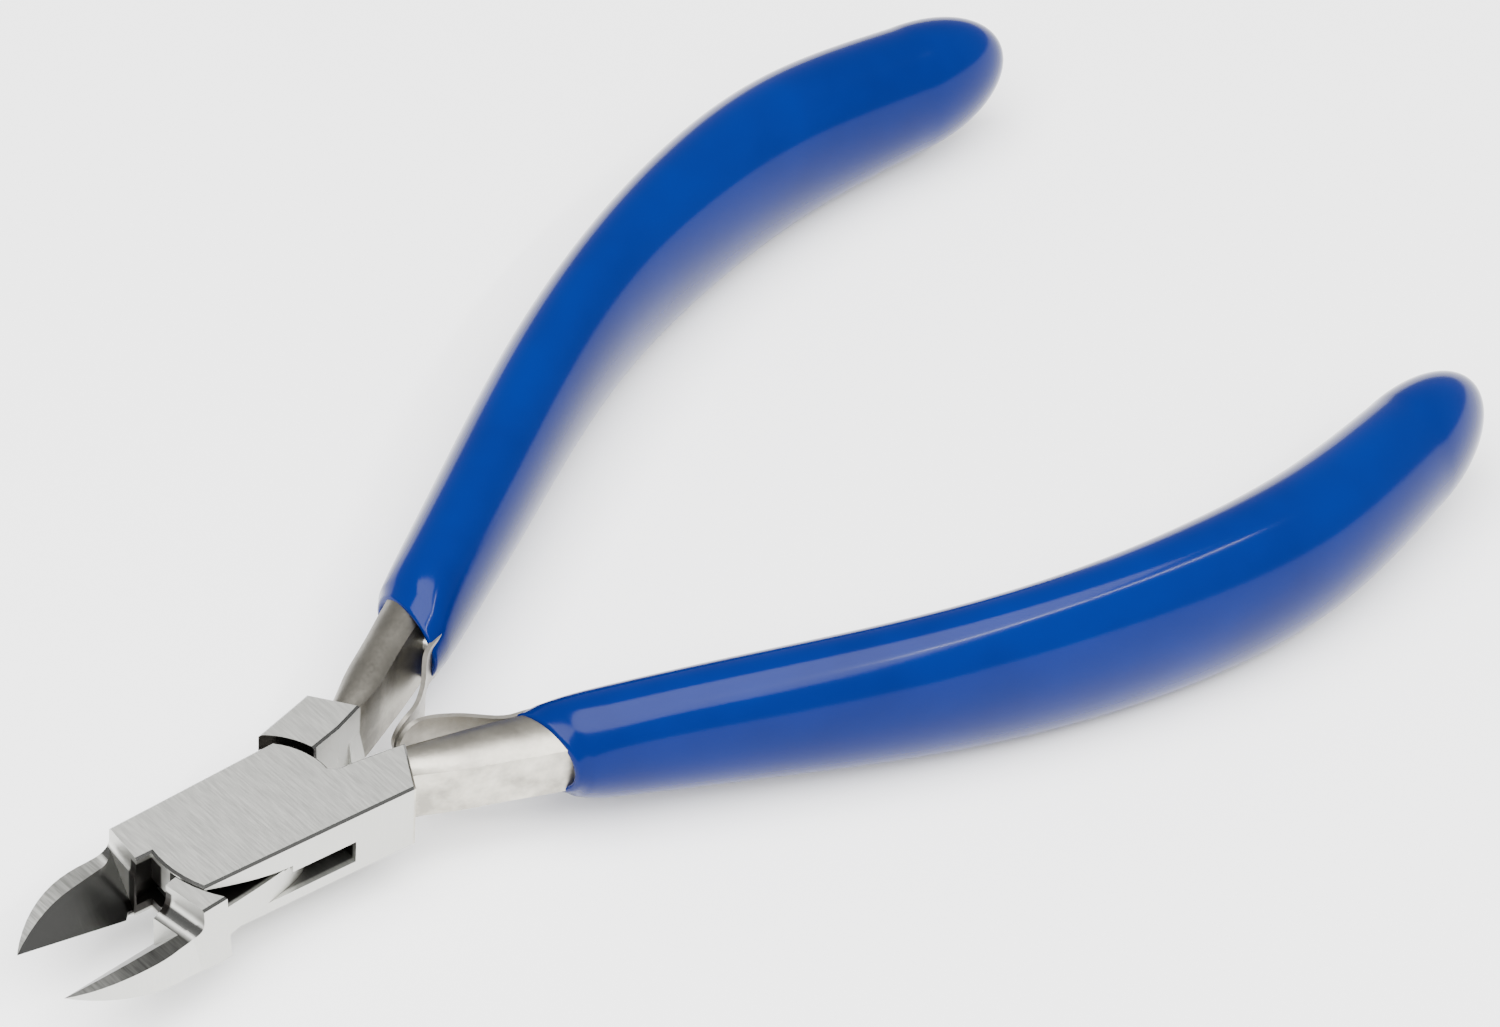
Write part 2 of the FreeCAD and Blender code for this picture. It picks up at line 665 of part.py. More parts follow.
def pivot_pin():
    """Pin with both ends peened into countersinks and ground flush."""
    rod = pin_hole(PIN_RADIUS, 0, BOX_HEIGHT)
    lower = Part.makeCone(PIN_HEAD_RADIUS, PIN_RADIUS, PIN_HEAD_DEPTH, V(0, 0, 0), UP)
    upper_base = V(0, 0, BOX_HEIGHT - PIN_HEAD_DEPTH)
    upper = Part.makeCone(PIN_RADIUS, PIN_HEAD_RADIUS, PIN_HEAD_DEPTH, upper_base, UP)
    return rod.fuse([lower, upper]).removeSplitter()


def box_half():
    """Outer half at rest: upper blade, box with its slot, and the lower handle's steel."""
    box = broken_prism(cheek_plan(), 0, BOX_HEIGHT).cut(band_cutter())
    body = box.fuse(blade(FRONT_ARC)).cut(underside_cutter())
    body = body.cut(slot_cutter()).cut(cheek_relief())
    body = body.fuse(turned_over(steel_handle()))
    body = at_rest(body, -1).cut(pivot_pin())
    return body.cut(turned_over(spring_rivet()))


def inner_half():
    """Inner half at rest: lower blade, neck, rear block, and the upper handle's steel."""
    neck = prism(neck_plan(), NECK_LOW, NECK_HIGH)
    front = [front_shoulder(), neck_ramp(), mirrored(blade(FRONT_ARC + FRONT_GAP + 0.3))]
    body = neck.fuse(front).cut(underside_cutter())
    body = body.fuse([rear_block(), steel_handle()])
    body = body.cut(pin_hole(PIN_RADIUS + PIN_PLAY, 0, BOX_HEIGHT))
    return at_rest(body, 1).cut(spring_rivet())


def grip(steel, side):
    """Dipped grip at rest over the steel, side +1 for the inner half and -1 for the box half."""
    body = grip_body()
    middle, along, sideways = frame_at(handle_line(), GRIP_START)
    mouth = Part.makeBox(40, 60, 40, V(-40, -30, -20))
    mouth.rotate(V(0, 0, 0), UP, -MOUTH_SLANT)
    mouth.translate(V(middle.x, middle.y, MID))
    body = at_rest(body.cut(mouth), 1).cut(leaf_pocket()).cut(spring_rivet())
    if side < 0:
        body = turned_over(body)
    return body.cut(steel)


def export(name, shape):
    solids = shape.Solids
    print(name, "valid", shape.isValid(), "solids", len(solids), "volume", round(shape.Volume, 1))
    result = solids[0] if len(solids) == 1 else Part.makeCompound(solids)
    result.exportStep("parts/" + name + ".step")


def main():
    os.makedirs("parts", exist_ok=True)
    lower_steel = box_half()
    upper_steel = inner_half()
    export("box_half", lower_steel)
    export("inner_half", upper_steel)
    export("pivot_pin", pivot_pin())
    export("lower_grip", grip(lower_steel, -1))
    export("upper_grip", grip(upper_steel, 1))
    export("upper_leaf_spring", spring_leaf())
    export("lower_leaf_spring", turned_over(spring_leaf()))
    export("upper_spring_rivet", spring_rivet())
    export("lower_spring_rivet", turned_over(spring_rivet()))


main()
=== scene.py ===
import math

import bmesh
import bpy
from bpy.props import FloatProperty, FloatVectorProperty, IntProperty, PointerProperty
from bpy.types import Operator, Panel, PropertyGroup
from mathutils import Matrix, Vector


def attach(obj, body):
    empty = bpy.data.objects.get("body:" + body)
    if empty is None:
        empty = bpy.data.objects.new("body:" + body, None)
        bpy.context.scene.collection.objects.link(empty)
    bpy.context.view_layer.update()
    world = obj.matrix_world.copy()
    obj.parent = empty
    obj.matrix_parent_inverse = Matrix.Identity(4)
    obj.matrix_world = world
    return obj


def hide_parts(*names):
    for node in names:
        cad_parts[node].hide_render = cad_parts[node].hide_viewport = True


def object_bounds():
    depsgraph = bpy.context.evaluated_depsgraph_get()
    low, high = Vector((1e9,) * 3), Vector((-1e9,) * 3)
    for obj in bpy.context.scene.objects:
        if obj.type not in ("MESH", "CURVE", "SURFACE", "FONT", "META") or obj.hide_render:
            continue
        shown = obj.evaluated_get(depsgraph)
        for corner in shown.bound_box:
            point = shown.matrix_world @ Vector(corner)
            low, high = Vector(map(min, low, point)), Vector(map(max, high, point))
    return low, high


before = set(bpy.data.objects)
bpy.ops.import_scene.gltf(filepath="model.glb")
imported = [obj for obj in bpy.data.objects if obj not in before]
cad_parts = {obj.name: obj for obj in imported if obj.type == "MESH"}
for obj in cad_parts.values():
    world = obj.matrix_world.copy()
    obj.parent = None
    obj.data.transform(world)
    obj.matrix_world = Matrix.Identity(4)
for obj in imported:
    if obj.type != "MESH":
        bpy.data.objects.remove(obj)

bl_info = {
    "name": "Flush Cut Pliers",
    "version": (1, 0, 0),
    "blender": (4, 5, 0),
    "location": "View3D > Sidebar > Pliers",
    "description": "Builds the dipped grips, steel finishes and studio stage of flush cut pliers",
    "category": "Object",
}

LOADED_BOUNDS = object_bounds()
UP = Vector((0, 0, 1))


# ---------------------------------------------------------------- settings

class GripSettings(PropertyGroup):
    """Sizes and colours of the dipped vinyl grips."""

    blue: FloatVectorProperty(
        name="Vinyl blue", description="Colour of the dipped vinyl", subtype="COLOR",
        size=3, min=0, max=1, default=(0.0001, 0.0095, 0.105))
    edge_blue: FloatVectorProperty(
        name="Deep blue", description="Darker tone where the vinyl runs thick", subtype="COLOR",
        size=3, min=0, max=1, default=(0.0001, 0.0072, 0.082))
    roughness: FloatProperty(
        name="Roughness", description="Roughness of the vinyl's skin", subtype="FACTOR",
        min=0, max=1, default=0.15)
    ripple: FloatProperty(
        name="Ripple", description="Strength of the dip's faint orange peel",
        min=0, max=1, default=0.05)
    rings: IntProperty(
        name="Rings", description="Cross sections along each grip", min=24, max=400, default=120)
    sides: IntProperty(
        name="Sides", description="Points round each cross section", min=16, max=160, default=72)


class SteelSettings(PropertyGroup):
    """Finishes of the steel parts."""

    ground: FloatVectorProperty(
        name="Ground steel", description="Colour of the ground faces", subtype="COLOR",
        size=3, min=0, max=1, default=(0.70, 0.70, 0.66))
    forged: FloatVectorProperty(
        name="Forged steel", description="Colour of the bead blasted forged faces",
        subtype="COLOR", size=3, min=0, max=1, default=(0.19, 0.18, 0.155))
    # painted reflection: slanted bevels get a dark tone that stands for the dark surroundings they
    # reflect; their low polished roughness is their own
    bevel: FloatVectorProperty(
        name="Bevel steel", description="Colour of the polished bevels and broken edges",
        subtype="COLOR", size=3, min=0, max=1, default=(0.13, 0.13, 0.125))
    # painted shade: the near black tone painted on the steel inside the slot, the throat and the
    # rear arc, where shade falls
    shade: FloatVectorProperty(
        name="Painted slot shade", description="Colour of the steel deep inside the slot", subtype="COLOR",
        size=3, min=0, max=1, default=(0.022, 0.020, 0.018))
    spring: FloatVectorProperty(
        name="Spring steel", description="Colour of the leaf springs", subtype="COLOR",
        size=3, min=0, max=1, default=(0.36, 0.34, 0.30))
    roughness: FloatProperty(
        name="Roughness", description="Roughness of the ground faces", subtype="FACTOR",
        min=0, max=1, default=0.38)
    grain: FloatProperty(
        name="Grain", description="Strength of the grinding lines", min=0, max=1, default=0.12)


class StageSettings(PropertyGroup):
    """Floor, lights and camera."""

    floor_tone: FloatVectorProperty(
        name="Floor", description="Colour of the floor", subtype="COLOR",
        size=3, min=0, max=1, default=(0.98, 0.98, 0.98))
    azimuth: FloatProperty(
        name="Azimuth", description="Camera's turn about the vertical", subtype="ANGLE",
        default=math.radians(-46.46))
    elevation: FloatProperty(
        name="Elevation", description="Camera's height angle", subtype="ANGLE",
        default=math.radians(45.27))
    roll: FloatProperty(
        name="Roll", description="Camera's tilt", subtype="ANGLE", default=math.radians(4.5))
    distance: FloatProperty(
        name="Distance", description="Camera to the point it looks at", subtype="DISTANCE",
        unit="LENGTH", default=0.5939)
    target: FloatVectorProperty(
        name="Target", description="Point the camera looks at", subtype="TRANSLATION",
        unit="LENGTH", size=3, default=(0.05676, 0.00069, 0.0036))
    lens: FloatProperty(
        name="Lens", description="Focal length on a 36 mm wide sensor, in millimetres",
        default=162.6)


# ---------------------------------------------------------------- shape of the handles, in metres

MID = 0.0036
REST_ANGLE = math.radians(7.3)
HANDLE_REACH = 0.109
HANDLE_BOW = 0.0219
GRIP_START = 0.0247
GRIP_NOSE = 0.01103
MOUTH_MIDDLE = 0.00569
MOUTH_SLANT = math.radians(11.5)
MOUTH_FADE = 0.012
SKIN_PLAY = 0.00003

# share of the way from the mouth to the reach, share of the way from the mouth's middle to the
# bow, half width and half height of the grip
GRIP_STATIONS = [
    (-0.0202, -0.0322, 0.00328, 0.00330),
    (0.0000, 0.0000, 0.00375, 0.00380),
    (0.0238, 0.0421, 0.00395, 0.00475),
    (0.0690, 0.1245, 0.00405, 0.00560),
    (0.1854, 0.3407, 0.00430, 0.00640),
    (0.3600, 0.6663, 0.00455, 0.00740),
    (0.5255, 0.8945, 0.00475, 0.00820),
    (0.6858, 1.0000, 0.00525, 0.00850),
    (0.8461, 0.9703, 0.00550, 0.00810),
    (1.0000, 0.7717, 0.00505, 0.00690),
]
NOSE_RINGS = 24
HEADING_STEP = 0.00005

# the mouth's rolled lip: the middle of the wall and half its thickness as shares of the grip's
# half width, how far the roll bulges, and how deep the bore behind it goes
LIP_MIDDLE = 0.90
LIP_HALF_WALL = 0.10
LIP_ROLL = 0.0005
LIP_STEPS = 8
BORE_DEPTH = 0.002


# ---------------------------------------------------------------- where the finishes and the painted shade change

# in metres, measured from the pivot, along and across the half as it lies when the tool is shut
SOFT_EDGE = 0.0002
SHANK_FACING = (0.90, 0.43)
SHANK_EDGE = (0.01278, 0.01292)
BLADE_EDGE = (0.0125, 0.0135)

# along, across and height of the steel where shade is painted in the slot and the throat, then the
# radius and along limits of the painted shade on the rear arc
BOX_SLOT = ((-0.0102, 0.0126), (-0.0052, 0.0046), (0.0013, 0.0041))
NECK_SLOT = ((-0.0095, 0.0075), (-0.0044, 0.0044), (0.0013, 0.0053))
THROAT = ((-0.0129, -0.0094), (-0.0012, 0.0012), (0.0004, 0.0066))
REAR_ARC_RADIUS = (0.0070, 0.0080)
REAR_ARC_ALONG = (0.004, 0.009)

# how far a face looks up, where one finish gives way to the next and where painted shade begins
UPRIGHT = (0.05, 0.3)
ARC_WALL = (0.3, 0.5)
BEVEL_FROM = (0.35, 0.5)
BEVEL_TO = (0.86, 0.93)
BAND_FROM = (0.5, 0.8)
SHANK_WALL = (0.1, 0.75)

# noise stretched across the part, so that it reads as lines, and plain noise, per metre
GRINDING_LINES = (9000, 500, 500)
COARSE_MARKS = (4200, 260, 260)
STEEL_CLOUDS = 220.0
SHANK_PITS = 3200.0
LEAF_CLOUDS = 420.0
LEAF_PITS = 2600.0
VINYL_CLOUDS = 60.0
VINYL_PEEL = 700.0
FLOOR_MOTTLE = 40.0

# the part of each noise over which its tone changes
LINE_SPREAD = (0.3, 0.7)
MARK_SPREAD = (0.35, 0.65)
CLOUD_SPREAD = (0.35, 0.65)
WALL_SPREAD = (0.38, 0.62)
LEAF_SPREAD = (0.35, 0.7)
PIT_SPREAD = (0.3, 0.7)

# each tone as a share of the one it is made from
DARK_LINE = 0.84
SIDE_DARK_LINE = 0.93
# painted shade: the ground head's upright faces are painted darker than its level top
SHADED_SIDE_TONE = 0.72
LIGHT_BAND = 0.6
# painted shade: the inner half's coarse band on the blade is painted near black
SHADED_BAND = 0.13
DARK_MARK = 0.55
# painted light: the box half's forged shank is painted paler than the inner half's, a lit copy of
# the same steel
LIT_SHANK = 1.7
DARK_CLOUD = 0.72
PALE_WALL = 1.9
GREY_WALL = 0.95
DARK_LEAF = 0.7

# gloss of each finish, and the height of its relief in metres
BEVEL_ROUGHNESS = 0.24
SHANK_ROUGHNESS = (0.34, 0.46)
LEAF_ROUGHNESS = (0.35, 0.5)
VINYL_IOR = 1.19
COAT_WEIGHT = 0.03
COAT_ROUGHNESS = 0.06
LINE_HEIGHT = 0.00003
LEAF_PIT_HEIGHT = 0.00004
LEAF_GRAIN = 0.25
PEEL_HEIGHT = 0.0001


# ---------------------------------------------------------------- lights, floor and camera

FLOOR_WIDTH = 6
FLOOR_MIDDLE = 0.05
FLOOR_DARK = 0.985
FLOOR_ROUGHNESS = 0.9
SKY_STRENGTH = 0.75
SENSOR_WIDTH = 36
CAMERA_REACH = (0.01, 10)

# name, place, point it faces and size in metres, and power in watts
LIGHTS = (
    ("overhead", (-0.2, -0.2, 0.9), (0.05, 0, 0), (1.1, 1.1), 42),
    ("strip", (0.2, -0.43, 0.65), (0.07, 0, 0), (0.5, 0.02), 2.5),
)


# ---------------------------------------------------------------- meshes

def spline(xs, ys):
    """Natural cubic through the points, as a function."""
    n = len(xs)
    h = [xs[i + 1] - xs[i] for i in range(n - 1)]
    slope = [(ys[i + 1] - ys[i]) / h[i] for i in range(n - 1)]
    second = [0.0] * n
    above = [0.0] * n
    right = [0.0] * n
    for i in range(1, n - 1):
        pivot = 2 * (h[i - 1] + h[i]) - h[i - 1] * above[i - 1]
        above[i] = h[i] / pivot
        right[i] = (6 * (slope[i] - slope[i - 1]) - h[i - 1] * right[i - 1]) / pivot
    for i in range(n - 2, 0, -1):
        second[i] = right[i] - above[i] * second[i + 1]

    def value(x):
        i = 0
        while i < n - 2 and x > xs[i + 1]:
            i += 1
        a, b = xs[i + 1] - x, x - xs[i]
        return ((second[i] * a ** 3 + second[i + 1] * b ** 3) / (6 * h[i])
                + (ys[i] / h[i] - second[i] * h[i] / 6) * a
                + (ys[i + 1] / h[i] - second[i + 1] * h[i] / 6) * b)

    return value


def linked_object(name, mesh):
    """Turn a finished bmesh into an object of the scene."""
    data = bpy.data.meshes.new(name)
    mesh.to_mesh(data)
    mesh.free()
    thing = bpy.data.objects.new(name, data)
    bpy.context.scene.collection.objects.link(thing)
    return thing


# ---------------------------------------------------------------- shader nodes

def new_material(name):
    material = bpy.data.materials.new(name)
    material.use_nodes = True
    tree = material.node_tree
    tree.nodes.clear()
    output = tree.nodes.new("ShaderNodeOutputMaterial")
    shader = tree.nodes.new("ShaderNodeBsdfPrincipled")
    tree.links.new(shader.outputs["BSDF"], output.inputs["Surface"])
    return material, tree, shader


def add(tree, kind, **values):
    node = tree.nodes.new(kind)
    for name, value in values.items():
        setattr(node, name, value)
    return node


def fill(tree, socket, value):
    """Set a socket to a number or colour, or link it to another node's output."""
    if isinstance(value, tuple):
        socket.default_value = (*value, 1)
    elif isinstance(value, float):
        socket.default_value = value
    else:
        tree.links.new(value, socket)


def scaled(colour, share):
    """A colour made darker or paler by a share."""
    return tuple(share * part for part in colour)


def object_coordinates(tree, scale=(1, 1, 1), turn=0.0):
    """The piece's own coordinates, stretched and turned in plan."""
    source = add(tree, "ShaderNodeTexCoord")
    mapping = add(tree, "ShaderNodeMapping")
    mapping.inputs["Scale"].default_value = scale
    mapping.inputs["Rotation"].default_value = (0, 0, turn)
    tree.links.new(source.outputs["Object"], mapping.inputs["Vector"])
    return mapping.outputs["Vector"]


def noise(tree, vector, scale, detail=4, roughness=0.6):
    node = add(tree, "ShaderNodeTexNoise")
    node.inputs["Scale"].default_value = scale
    node.inputs["Detail"].default_value = detail
    node.inputs["Roughness"].default_value = roughness
    tree.links.new(vector, node.inputs["Vector"])
    return node.outputs["Fac"]


def spread(tree, value, low, high, to_low, to_high):
    """Map the stretch from low to high onto another, and hold the ends."""
    node = add(tree, "ShaderNodeMapRange")
    node.inputs["From Min"].default_value = low
    node.inputs["From Max"].default_value = high
    node.inputs["To Min"].default_value = to_low
    node.inputs["To Max"].default_value = to_high
    tree.links.new(value, node.inputs["Value"])
    return node.outputs["Result"]


def rise(tree, value, low, high):
    """0 below low, 1 above high."""
    return spread(tree, value, low, high, 0, 1)


def fall(tree, value, low, high):
    """1 below low, 0 above high."""
    return spread(tree, value, low, high, 1, 0)


def mix_colour(tree, share, first, second):
    """Blend of two colours, each a constant or an output."""
    node = add(tree, "ShaderNodeMix", data_type="RGBA")
    fill(tree, node.inputs["A"], first)
    fill(tree, node.inputs["B"], second)
    tree.links.new(share, node.inputs["Factor"])
    return node.outputs["Result"]


def mix_value(tree, share, first, second):
    """Blend of two numbers, each a constant or an output."""
    node = add(tree, "ShaderNodeMix", data_type="FLOAT")
    fill(tree, node.inputs["A"], first)
    fill(tree, node.inputs["B"], second)
    tree.links.new(share, node.inputs["Factor"])
    return node.outputs["Result"]


def reckon(tree, operation, first, second):
    node = add(tree, "ShaderNodeMath", operation=operation)
    tree.links.new(first, node.inputs[0])
    tree.links.new(second, node.inputs[1])
    return node.outputs["Value"]


def times(tree, first, second):
    return reckon(tree, "MULTIPLY", first, second)


def plus(tree, first, second):
    return reckon(tree, "ADD", first, second)


def greater(tree, first, second):
    return reckon(tree, "MAXIMUM", first, second)


def within(tree, value, low, high):
    """1 between two distances and 0 outside, with narrow edges."""
    return times(tree, rise(tree, value, low, low + SOFT_EDGE),
                 fall(tree, value, high - SOFT_EDGE, high))


def bump(tree, height, strength, distance):
    node = add(tree, "ShaderNodeBump")
    node.inputs["Strength"].default_value = strength
    node.inputs["Distance"].default_value = distance
    tree.links.new(height, node.inputs["Height"])
    return node.outputs["Normal"]


def distance_along(tree, direction):
    """How far a point lies along a direction from the origin, in metres."""
    source = add(tree, "ShaderNodeTexCoord")
    node = add(tree, "ShaderNodeVectorMath", operation="DOT_PRODUCT")
    tree.links.new(source.outputs["Object"], node.inputs[0])
    node.inputs[1].default_value = direction
    return node.outputs["Value"]


def distance_from_pivot(tree):
    """How far a point lies from the pivot's axis, in metres."""
    node = add(tree, "ShaderNodeVectorMath", operation="LENGTH")
    tree.links.new(object_coordinates(tree, (1, 1, 0)), node.inputs[0])
    return node.outputs["Value"]


def facing_up(tree):
    """How far a face looks up: 1 for a level top, 0 for an upright face, -1 for an underside."""
    source = add(tree, "ShaderNodeNewGeometry")
    parts = add(tree, "ShaderNodeSeparateXYZ")
    tree.links.new(source.outputs["Normal"], parts.inputs["Vector"])
    return parts.outputs["Z"]


# ---------------------------------------------------------------- finishes

def in_block(tree, distances, block):
    """1 where the distance along, across and up each lie between the block's limits."""
    along, across, height = (within(tree, distance, *limits)
                             for distance, limits in zip(distances, block))
    return times(tree, along, times(tree, across, height))


def painted_slot_shade(tree, turn, side):
    """1 where shade is painted on the steel of one half: inside the slot, the throat and, on the
    neck half, the rear arc's walls; 0 elsewhere.
    """
    distances = [distance_along(tree, turn @ Vector((1, 0, 0))),
                 distance_along(tree, turn @ Vector((0, 1, 0))),
                 distance_along(tree, UP)]
    if side < 0:
        slot = in_block(tree, distances, BOX_SLOT)
    else:
        arc = times(tree, within(tree, distance_from_pivot(tree), *REAR_ARC_RADIUS),
                    within(tree, distances[0], *REAR_ARC_ALONG))
        arc = times(tree, arc, fall(tree, facing_up(tree), *ARC_WALL))
        slot = greater(tree, in_block(tree, distances, NECK_SLOT), arc)
    return greater(tree, slot, in_block(tree, distances, THROAT))


def bevelled(tree, level):
    """1 on a slanted face, 0 on level and upright ones."""
    return times(tree, rise(tree, level, *BEVEL_FROM), fall(tree, level, *BEVEL_TO))


def ground_roughness(tree, settings, lines):
    """Roughness of a ground face, a little duller along its lines."""
    return spread(tree, lines, 0.2, 0.8, settings.roughness - 0.06, settings.roughness + 0.08)


def head_colour(tree, settings, level, blade, lines, marks, band):
    """Ground top and sides, the sides darker in painted shade, bevels painted dark as a painted
    reflection, and the coarse band on the blade, painted near black as painted shade on the inner
    half.
    """
    tone = tuple(settings.ground)
    shaded_side_tone = scaled(tone, SHADED_SIDE_TONE)
    streaks = rise(tree, lines, *LINE_SPREAD)
    top = mix_colour(tree, streaks, scaled(tone, DARK_LINE), tone)
    # painted shade: the upright faces of the ground head take the darker shaded side tone
    upright = mix_colour(tree, streaks, scaled(shaded_side_tone, SIDE_DARK_LINE), shaded_side_tone)
    head = mix_colour(tree, fall(tree, level, *UPRIGHT), top, upright)
    marked = mix_colour(tree, rise(tree, marks, *MARK_SPREAD), scaled(band, DARK_MARK), band)
    on_band = times(tree, blade, rise(tree, level, *BAND_FROM))
    head = mix_colour(tree, on_band, head, marked)
    # painted reflection: the slanted bevels are painted dark
    return mix_colour(tree, bevelled(tree, level), head, tuple(settings.bevel))


def shank_colour(tree, level, clouds, forged):
    """Bead blasted top and paler walls."""
    top = mix_colour(tree, rise(tree, clouds, *CLOUD_SPREAD),
                     forged, scaled(forged, DARK_CLOUD))
    wall = mix_colour(tree, rise(tree, clouds, *WALL_SPREAD),
                      scaled(forged, PALE_WALL), scaled(forged, GREY_WALL))
    return mix_colour(tree, fall(tree, level, *SHANK_WALL), top, wall)


def half_steel(name, settings, side, band, forged):
    """Steel of one half: ground head, forged shank, painted paler on the box half as painted
    light, bevels painted dark as a painted reflection, a coarse band that takes painted shade on
    the inner half, and painted shade in the slot.
    """
    material, tree, shader = new_material(name)
    shader.inputs["Metallic"].default_value = 1.0
    turn = Matrix.Rotation(side * REST_ANGLE, 3, "Z")
    lines = noise(tree, object_coordinates(tree, GRINDING_LINES, -side * REST_ANGLE), 1.0)
    marks = noise(tree, object_coordinates(tree, COARSE_MARKS, -side * REST_ANGLE), 1.0, 3)
    clouds = noise(tree, object_coordinates(tree), STEEL_CLOUDS)
    pits = noise(tree, object_coordinates(tree), SHANK_PITS, 5, 0.7)

    rearward = turn @ Vector((SHANK_FACING[0], SHANK_FACING[1] * side, 0))
    shank = rise(tree, distance_along(tree, rearward), *SHANK_EDGE)
    blade = rise(tree, distance_along(tree, turn @ Vector((-1, 0, 0))), *BLADE_EDGE)
    level = facing_up(tree)

    head = head_colour(tree, settings, level, blade, lines, marks, band)
    steel = mix_colour(tree, shank, head, shank_colour(tree, level, clouds, forged))
    # painted shade: the steel inside the slot, the throat and the rear arc's walls is painted near
    # black
    steel = mix_colour(tree, painted_slot_shade(tree, turn, side), steel, tuple(settings.shade))
    tree.links.new(steel, shader.inputs["Base Color"])

    head_rough = ground_roughness(tree, settings, lines)
    head_rough = mix_value(tree, bevelled(tree, level), head_rough, BEVEL_ROUGHNESS)
    shank_rough = spread(tree, pits, *PIT_SPREAD, *SHANK_ROUGHNESS)
    tree.links.new(mix_value(tree, shank, head_rough, shank_rough), shader.inputs["Roughness"])

    head_relief = times(tree, lines, fall(tree, shank, 0, 1))
    relief = plus(tree, head_relief, times(tree, pits, shank))
    relief = plus(tree, relief, times(tree, marks, blade))
    tree.links.new(bump(tree, relief, settings.grain, LINE_HEIGHT), shader.inputs["Normal"])
    return material


def ground_steel(name, settings, turn):
    """Satin steel with fine grinding lines across the part, turned by an angle in plan."""
    material, tree, shader = new_material(name)
    shader.inputs["Metallic"].default_value = 1.0
    tone = tuple(settings.ground)
    lines = noise(tree, object_coordinates(tree, GRINDING_LINES, turn), 1.0)
    colour = mix_colour(tree, rise(tree, lines, *LINE_SPREAD), scaled(tone, DARK_LINE), tone)
    tree.links.new(colour, shader.inputs["Base Color"])
    tree.links.new(ground_roughness(tree, settings, lines), shader.inputs["Roughness"])
    tree.links.new(bump(tree, lines, settings.grain, LINE_HEIGHT), shader.inputs["Normal"])
    return material


def leaf_steel(settings):
    """Spring steel of the leaves: mottled, with fine pits."""
    material, tree, shader = new_material("leaf_steel")
    shader.inputs["Metallic"].default_value = 1.0
    tone = tuple(settings.spring)
    pits = noise(tree, object_coordinates(tree), LEAF_PITS, 5, 0.7)
    clouds = noise(tree, object_coordinates(tree), LEAF_CLOUDS)
    colour = mix_colour(tree, rise(tree, clouds, *LEAF_SPREAD), tone, scaled(tone, DARK_LEAF))
    tree.links.new(colour, shader.inputs["Base Color"])
    rough = spread(tree, pits, *PIT_SPREAD, *LEAF_ROUGHNESS)
    tree.links.new(rough, shader.inputs["Roughness"])
    tree.links.new(bump(tree, pits, LEAF_GRAIN, LEAF_PIT_HEIGHT), shader.inputs["Normal"])
    return material


def dipped_vinyl(settings):
    """Glossy vinyl: deep colour under a soft skin with the dip's faint ripple."""
    material, tree, shader = new_material("dipped_vinyl")
    clouds = noise(tree, object_coordinates(tree), VINYL_CLOUDS, 3)
    peel = noise(tree, object_coordinates(tree), VINYL_PEEL, 3)
    colour = mix_colour(tree, rise(tree, clouds, *CLOUD_SPREAD),
                        tuple(settings.blue), tuple(settings.edge_blue))
    tree.links.new(colour, shader.inputs["Base Color"])
    rough = spread(tree, clouds, 0.3, 0.7, settings.roughness - 0.04, settings.roughness + 0.04)
    tree.links.new(rough, shader.inputs["Roughness"])
    shader.inputs["IOR"].default_value = VINYL_IOR
    shader.inputs["Coat Weight"].default_value = COAT_WEIGHT
    shader.inputs["Coat Roughness"].default_value = COAT_ROUGHNESS
    tree.links.new(bump(tree, peel, settings.ripple, PEEL_HEIGHT), shader.inputs["Normal"])
    return material


def paper_floor(settings):
    """Pale matt paper, very faintly mottled."""
    material, tree, shader = new_material("paper_floor")
    tone = tuple(settings.floor_tone)
    mottle = noise(tree, object_coordinates(tree), FLOOR_MOTTLE, 2)
    tree.links.new(mix_colour(tree, mottle, tone, scaled(tone, FLOOR_DARK)),
                   shader.inputs["Base Color"])
    shader.inputs["Roughness"].default_value = FLOOR_ROUGHNESS
    return material


def dress(node, material):
    """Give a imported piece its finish."""
    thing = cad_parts[node]
    thing.data.materials.clear()
    thing.data.materials.append(material)


# ---------------------------------------------------------------- grips

def grip_curves():
    """The handle's line, and the grip's half width and half height, as functions of the reach."""
    xs = [GRIP_START + row[0] * (HANDLE_REACH - GRIP_START) for row in GRIP_STATIONS]
    ys = [MOUTH_MIDDLE + row[1] * (HANDLE_BOW - MOUTH_MIDDLE) for row in GRIP_STATIONS]
    widths = [row[2] for row in GRIP_STATIONS]
    heights = [row[3] for row in GRIP_STATIONS]
    return spline(xs, ys), spline(xs, widths), spline(xs, heights)


def grip_sections(rings):
    """Place, heading, half width and half height of each ring, from the mouth to the nose."""
    line, width, height = grip_curves()
    sections = []
    for i in range(rings + 1):
        x = GRIP_START + (HANDLE_REACH - GRIP_START) * i / rings
        climb = line(x + HEADING_STEP) - line(x - HEADING_STEP)
        heading = math.atan2(climb, 2 * HEADING_STEP)
        sections.append((x, line(x), heading, width(x) - SKIN_PLAY, height(x) - SKIN_PLAY))
    x, y, heading, half_width, half_height = sections[-1]
    for i in range(1, NOSE_RINGS):
        angle = math.pi / 2 * i / NOSE_RINGS
        out = GRIP_NOSE * math.sin(angle)
        size = math.cos(angle)
        sections.append((x + out * math.cos(heading), y + out * math.sin(heading), heading,
                         half_width * size, half_height * size))
    return sections


